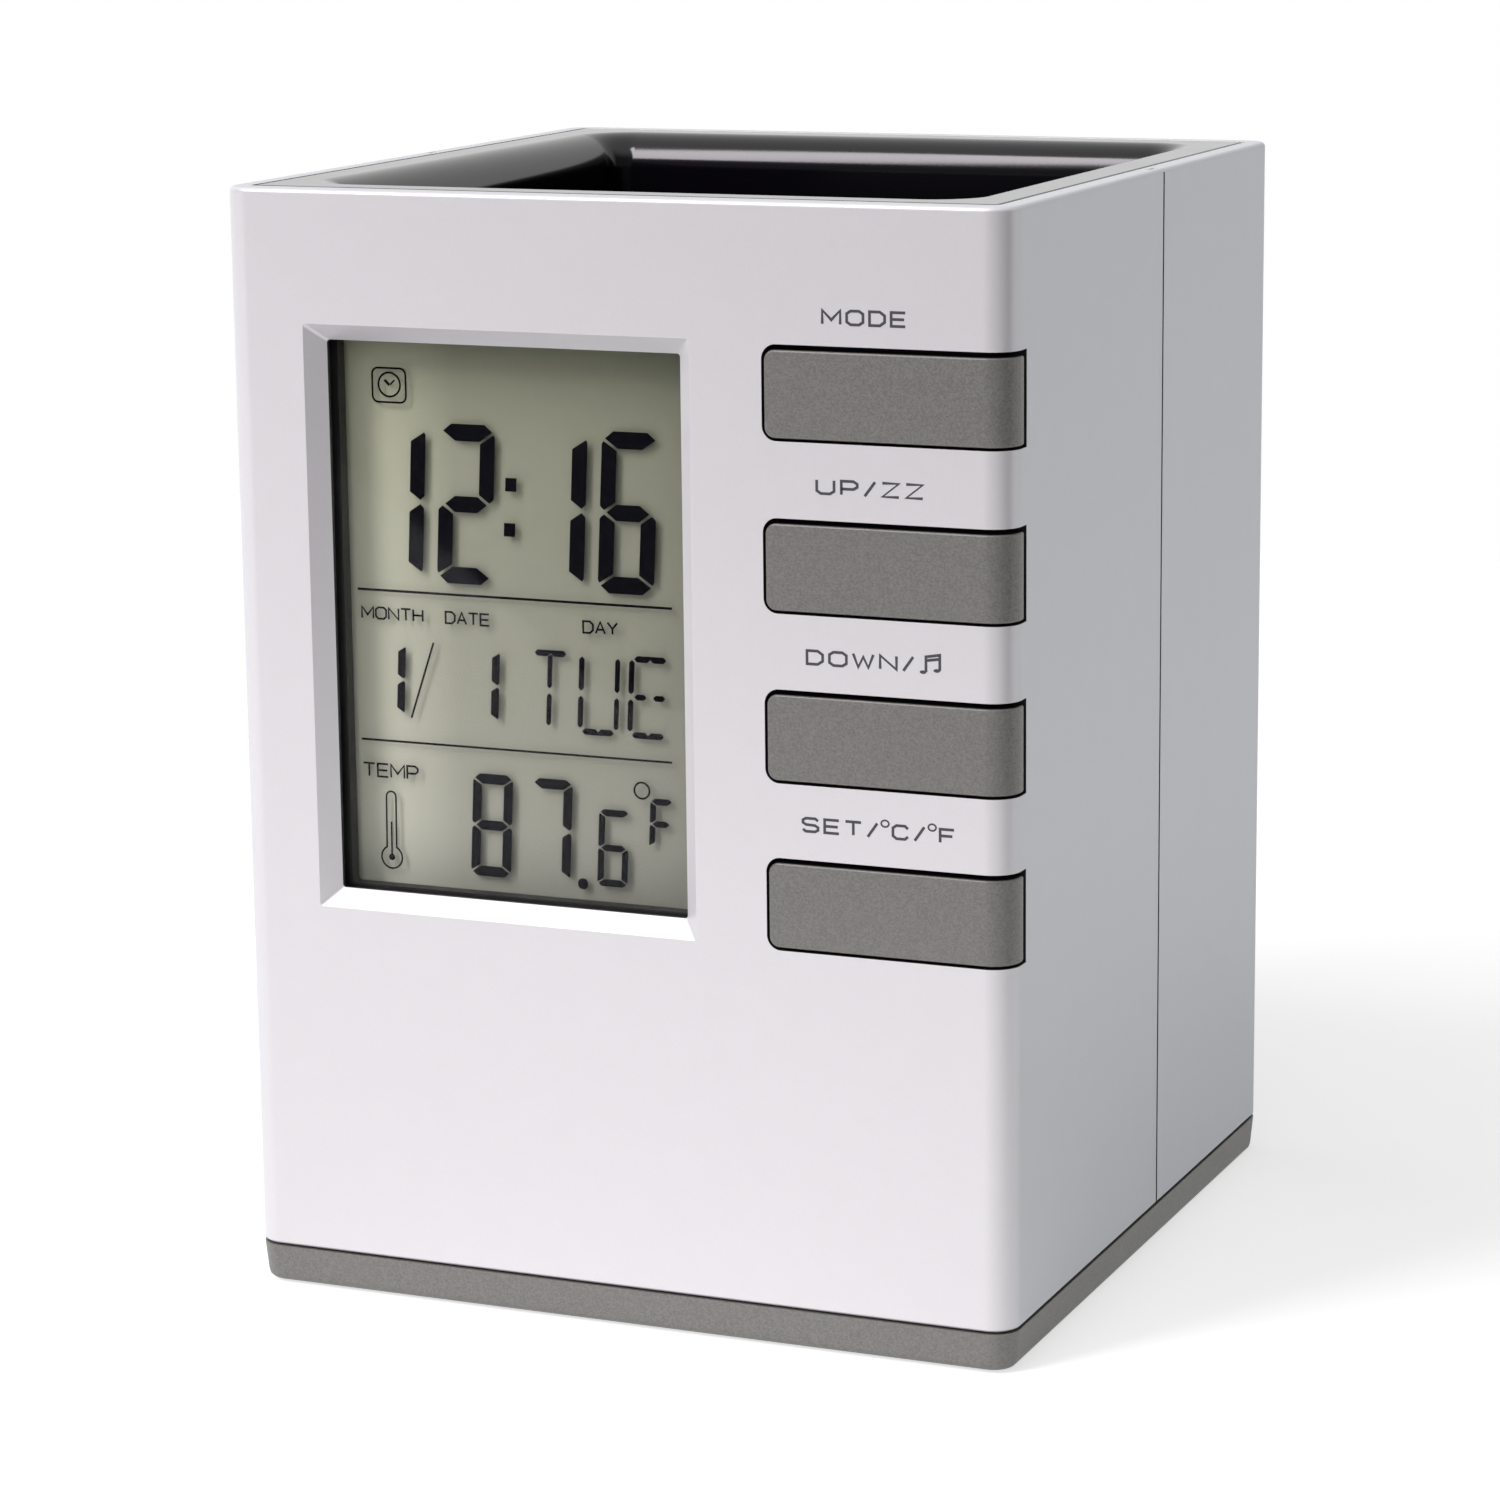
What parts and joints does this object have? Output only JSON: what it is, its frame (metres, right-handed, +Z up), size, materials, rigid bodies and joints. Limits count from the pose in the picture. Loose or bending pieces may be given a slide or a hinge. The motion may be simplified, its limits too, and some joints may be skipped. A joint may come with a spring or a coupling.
{
  "type": "pen holder clock",
  "caption": "Square desk pen holder with an LCD clock, calendar and thermometer in its front and push buttons wrapping one corner.",
  "frame": {"origin": "on the table under the middle of the holder, level with the undersides of its feet", "axes": "+X to the viewer's right, +Y from the front face to the back, +Z up out of the pen cup"},
  "size_m": [0.08, 0.08, 0.109],
  "materials": {
    "silver_paint": "plastic sprayed with fine silver metallic paint, satin",
    "base_grey": "dark grey with fine metallic speckle, satin",
    "cup_black": "glossy black moulding",
    "lens_clear": "clear polished acrylic",
    "frame_black": "black moulding",
    "lcd_glass": "grey-green reflective liquid crystal glass",
    "strip_rubber": "soft layered connector rubber",
    "board_green": "green solder mask over glass fibre",
    "chip_black": "black epoxy blob",
    "capacitor_ochre": "moulded ochre case",
    "thermistor_brown": "dipped brown bead",
    "buzzer_brass": "thin brass disc with a pale ceramic face",
    "button_grey": "dark grey with fine metallic speckle, satin",
    "switch_black": "black moulding",
    "stem_ivory": "ivory moulding",
    "screw_steel": "nickel plated steel",
    "cell_jacket": "plain printed film over a steel can",
    "contact_nickel": "nickel plated spring steel",
    "wire_red": "red PVC sleeve",
    "wire_black": "black PVC sleeve",
    "wire_grey": "grey PVC sleeve",
    "foot_rubber": "black die-cut rubber"
  },
  "bodies": {
    "housing": {"front_cover": "silver_paint", "rear_cover": "silver_paint", "base_plate": "base_grey", "inner_cup": "cup_black", "display_lens": "lens_clear", "lcd_frame": "frame_black", "lcd_panel": "lcd_glass", "contact_strip_upper": "strip_rubber", "contact_strip_lower": "strip_rubber", "circuit_board": "board_green", "controller_chip": "chip_black", "crystal_can": "screw_steel", "capacitor": "capacitor_ochre", "thermistor": "thermistor_brown", "piezo_buzzer": "buzzer_brass", "mode_switch_body": "switch_black", "up_switch_body": "switch_black", "down_switch_body": "switch_black", "set_switch_body": "switch_black", "board_screw_1": "screw_steel", "board_screw_2": "screw_steel", "board_screw_3": "screw_steel", "board_screw_4": "screw_steel", "base_screw_1": "screw_steel", "base_screw_2": "screw_steel", "base_screw_3": "screw_steel", "base_screw_4": "screw_steel", "battery_cell_1": "cell_jacket", "battery_cell_2": "cell_jacket", "contact_link": "contact_nickel", "contact_positive": "contact_nickel", "contact_negative": "contact_nickel", "contact_spring_1": "contact_nickel", "contact_spring_2": "contact_nickel", "battery_wire_red": "wire_red", "battery_wire_black": "wire_black", "buzzer_wire_left": "wire_grey", "buzzer_wire_right": "wire_grey", "foot_front_left": "foot_rubber", "foot_front_right": "foot_rubber", "foot_rear_left": "foot_rubber", "foot_rear_right": "foot_rubber"},
    "mode_key": {"mode_button": "button_grey", "mode_switch_stem": "stem_ivory"},
    "up_key": {"up_button": "button_grey", "up_switch_stem": "stem_ivory"},
    "down_key": {"down_button": "button_grey", "down_switch_stem": "stem_ivory"},
    "set_key": {"set_button": "button_grey", "set_switch_stem": "stem_ivory"},
    "door": {"battery_door": "base_grey"}
  },
  "joints": [
    {"name": "mode_press", "type": "slide", "parent": "housing", "child": "mode_key", "axis": [0, 1, 0], "range_m": [0, 0.0005], "stiffness_N_per_m": 600},
    {"name": "up_press", "type": "slide", "parent": "housing", "child": "up_key", "axis": [0, 1, 0], "range_m": [0, 0.0005], "stiffness_N_per_m": 600},
    {"name": "down_press", "type": "slide", "parent": "housing", "child": "down_key", "axis": [0, 1, 0], "range_m": [0, 0.0005], "stiffness_N_per_m": 600},
    {"name": "set_press", "type": "slide", "parent": "housing", "child": "set_key", "axis": [0, 1, 0], "range_m": [0, 0.0005], "stiffness_N_per_m": 600},
    {"name": "battery_door_hinge", "type": "hinge", "parent": "housing", "child": "door", "pos_m": [0, -0.0125, 0.0015], "axis": [-1, 0, 0], "range_deg": [0, 80]}
  ]
}
